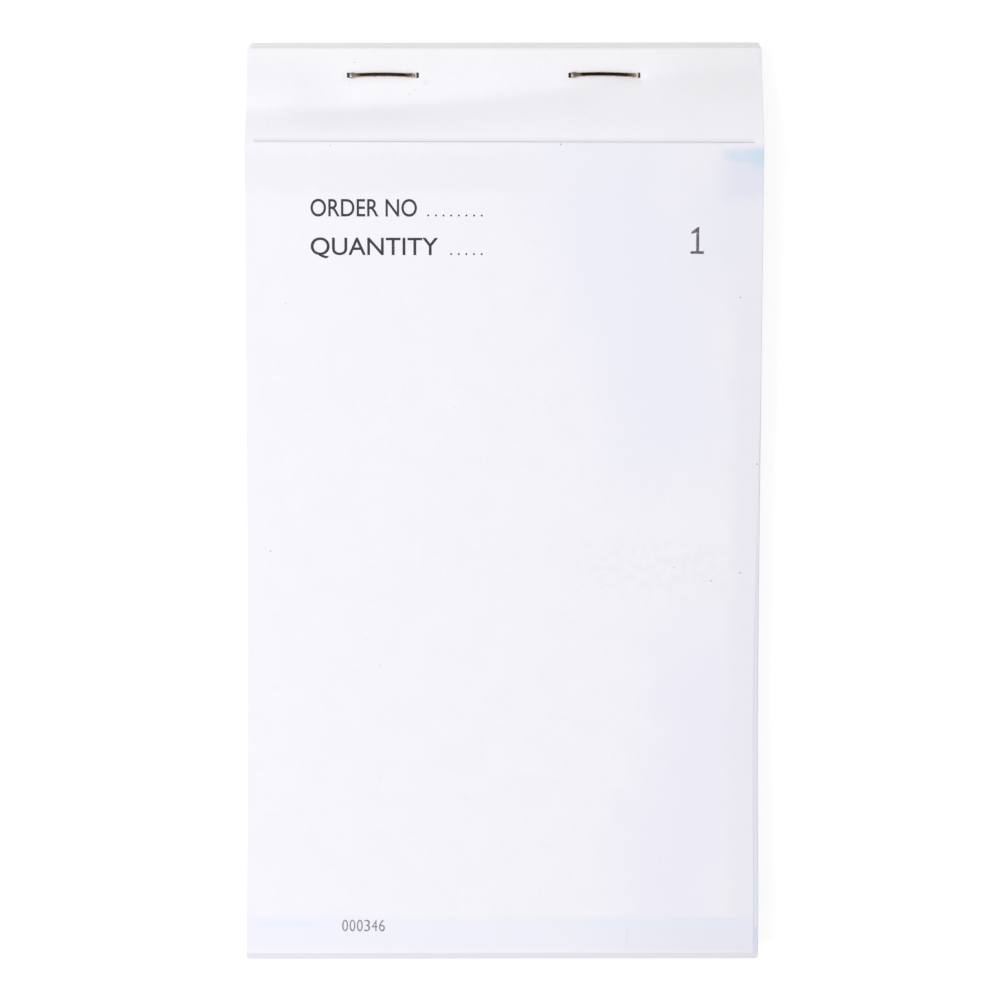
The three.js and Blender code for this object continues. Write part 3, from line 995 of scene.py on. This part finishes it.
def one(left, right, baseline, height):
    """The flat shape of the figure 1 with a flag and a foot, as a numbering machine prints it."""
    stem, foot, flag = 0.56, 0.5, 0.42  # how thick they are
    flag_drop, root_drop = 0.95, 0.62  # how far the flag's tip and its root are below the top
    middle, tip = (left + share * (right - left) for share in (0.53, 0.06))
    top = baseline + height
    shape = [(left, baseline), (right, baseline), (right, baseline + foot),
             (middle + stem / 2, baseline + foot), (middle + stem / 2, top), (middle, top),
             (tip, top - flag_drop), (tip, top - flag_drop - flag),
             (middle - stem / 2, top - root_drop - flag), (middle - stem / 2, baseline + foot),
             (left, baseline + foot)]
    return shape, [tuple(range(len(shape)))]


def dots(first, last, count, baseline, radius):
    """The flat shape of evenly spaced round dots that stand on a baseline."""
    sides = 14
    points, faces = [], []
    for x in np.linspace(first, last, count):
        start = len(points)
        for side in range(sides):
            angle = 2 * math.pi * side / sides
            points.append((x + radius * math.cos(angle), baseline + radius * (1 + math.sin(angle))))
        faces.append(tuple(range(start, start + sides)))
    return points, faces


print("films of", film_thickness, "mm lie", film_gap, "mm over the sheet")


# %% Ink
def ink(name, tone, gap_tone, gaps):
    """Black offset ink on rough paper. gaps is how much of the paper shows through."""
    material, tree = new_material(name)
    place = place_in_mm(tree)
    grain_mm = 0.16
    grain = add(tree, "TexNoise", {"Vector": place, "Scale": 1 / grain_mm, "Detail": 2.0})
    missing = {"Value": grain, "From Min": 0.62 - gaps, "From Max": 0.74 - gaps}
    missing = add(tree, "MapRange", missing)
    colour = add(tree, "Mix", {0: missing, 6: linear(tone), 7: linear(gap_tone)},
                 data_type="RGBA").outputs[2]
    shader = {"Base Color": colour, "Roughness": 0.6, "IOR": 1.5, "Specular IOR Level": 0.3}
    finish_material(tree, "BsdfPrincipled", shader)
    return material


form_ink = ink("black_offset_ink", "#39373D", "#6E6C74", 0.0)
number_ink = ink("numbering_machine_ink", "#4C4A52", "#B4B2BC", 0.1)
serial_ink = ink("worn_numbering_machine_ink", "#75737B", "#C4C2CC", 0.08)

# %% Print on the first and second forms
left_margin, cap_height = -37.35, 3.33
first_line, second_line = 54.98, 47.6
line_weight, serial_weight = 0.006, -0.004
dots_end, dot_pitch, dot_radius = -4.3, 1.475, 0.19
ply_number = {"left": 36.05, "right": 38.65, "baseline": 47.95, "height": 5.15}
serial_left, serial_pitch, serial_wide, serial_high, serial_base = -31.3, 1.44, 1.12, 2.25, -84.35


def print_form(node, level, ply, number):
    """All the print of one sheet, as films that ride on its leaf."""
    body = body_of_node[f"{node}_leaf"]
    lines = [words("ORDER NO", left_margin, -16.8, first_line, cap_height, line_weight),
             words("QUANTITY", left_margin, -12.7, second_line, cap_height, line_weight),
             dots(dots_end - 7 * dot_pitch, dots_end, 8, first_line, dot_radius),
             dots(dots_end - 4 * dot_pitch, dots_end, 5, second_line, dot_radius)]
    numbers = [one(**ply_number) if ply == "1" else words(ply, **ply_number)]
    wheels = []
    for i, digit in enumerate(number):
        start = serial_left + i * serial_pitch
        narrow = 0.35 * serial_wide if digit == "1" else 0
        wheels.append(words(digit, start + narrow, start + serial_wide - narrow, serial_base,
                            serial_high, serial_weight))
    made = (("lines", lines, form_ink), ("number", numbers, number_ink), ("serial", wheels, serial_ink))
    for name, shapes, material in made:
        piece = mesh_object(f"{node}_{name}", [film(*shape, level) for shape in shapes], material)
        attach(piece, body)


print_form("form_1_original", 0, "1", "000346")
print_form("form_1_copy", 1, "2", "000346")
print_form("form_2_original", 2, "1", "000347")
print("three sheets are printed, with lines at y", first_line, "and", second_line)

# %% [markdown]
# ## Dust, and the shade of dents
# No used pad is spotless. Grey crumbs of paper lie on the top sheet, each a small flat flake with an
# outline of its own. On the stub, the flakes just below the staples' ends are painted shade of the
# dents that the staples pressed in.

# %% Specks
speck_places = [(-33.5, 68.4, 0.14), (10.9, 68.8, 0.2), (45.8, 39.6, 0.2), (-45.5, -10.0, 0.2),
                (49.5, 7.3, 0.25), (46.4, -14.0, 0.22), (40.7, -15.6, 0.2), (33.5, -13.0, 0.14),
                (-42.2, 38.2, 0.13), (21.7, -50.2, 0.1), (-24.2, -32.5, 0.12)]
# flakes on the stub: partly dust, and those just below the staples' ends painted shade of dents
stub_specks = [(49.3, 87.0, 0.12), (-18.5, 79.1, 0.14), (-29.1, 85.2, 0.17), (-30.1, 80.9, 0.12),
               (-17.4, 79.9, 0.12), (26.2, 80.4, 0.12), (27.5, 74.2, 0.14)]
stray_specks = 46
random.seed(23)
for _ in range(stray_specks):
    across = half_width * (1 - 1.6 * random.random() ** 1.4)
    speck_places.append((across, random.uniform(-78, 62), random.uniform(0.04, 0.09)))


def flake(x, y, size):
    """One flat crumb with an uneven outline."""
    sides = 7
    points = []
    for side in range(sides):
        angle = 2 * math.pi * side / sides
        reach = size * random.uniform(0.6, 1.1)
        points.append((x + reach * math.cos(angle), y + reach * math.sin(angle)))
    return film(points, [tuple(range(sides))])


dust, tree = new_material("paper_dust_and_dent_shade")
mottle_mm = 0.3
mottle = add(tree, "TexNoise", {"Vector": place_in_mm(tree), "Scale": 1 / mottle_mm})
tone = add(tree, "Mix", {0: mottle, 6: linear("#A9A8B4"), 7: linear("#D6D5DE")},
           data_type="RGBA").outputs[2]
finish_material(tree, "BsdfPrincipled", {"Base Color": tone, "Roughness": 0.95})
for name, places, body in (("leaf_dust", speck_places, "first_original"),
                           ("stub_dust", stub_specks, "pad_base")):
    piece = mesh_object(name, [flake(*place) for place in places], dust)
    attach(piece, body)
print("specks", len(speck_places) + len(stub_specks))
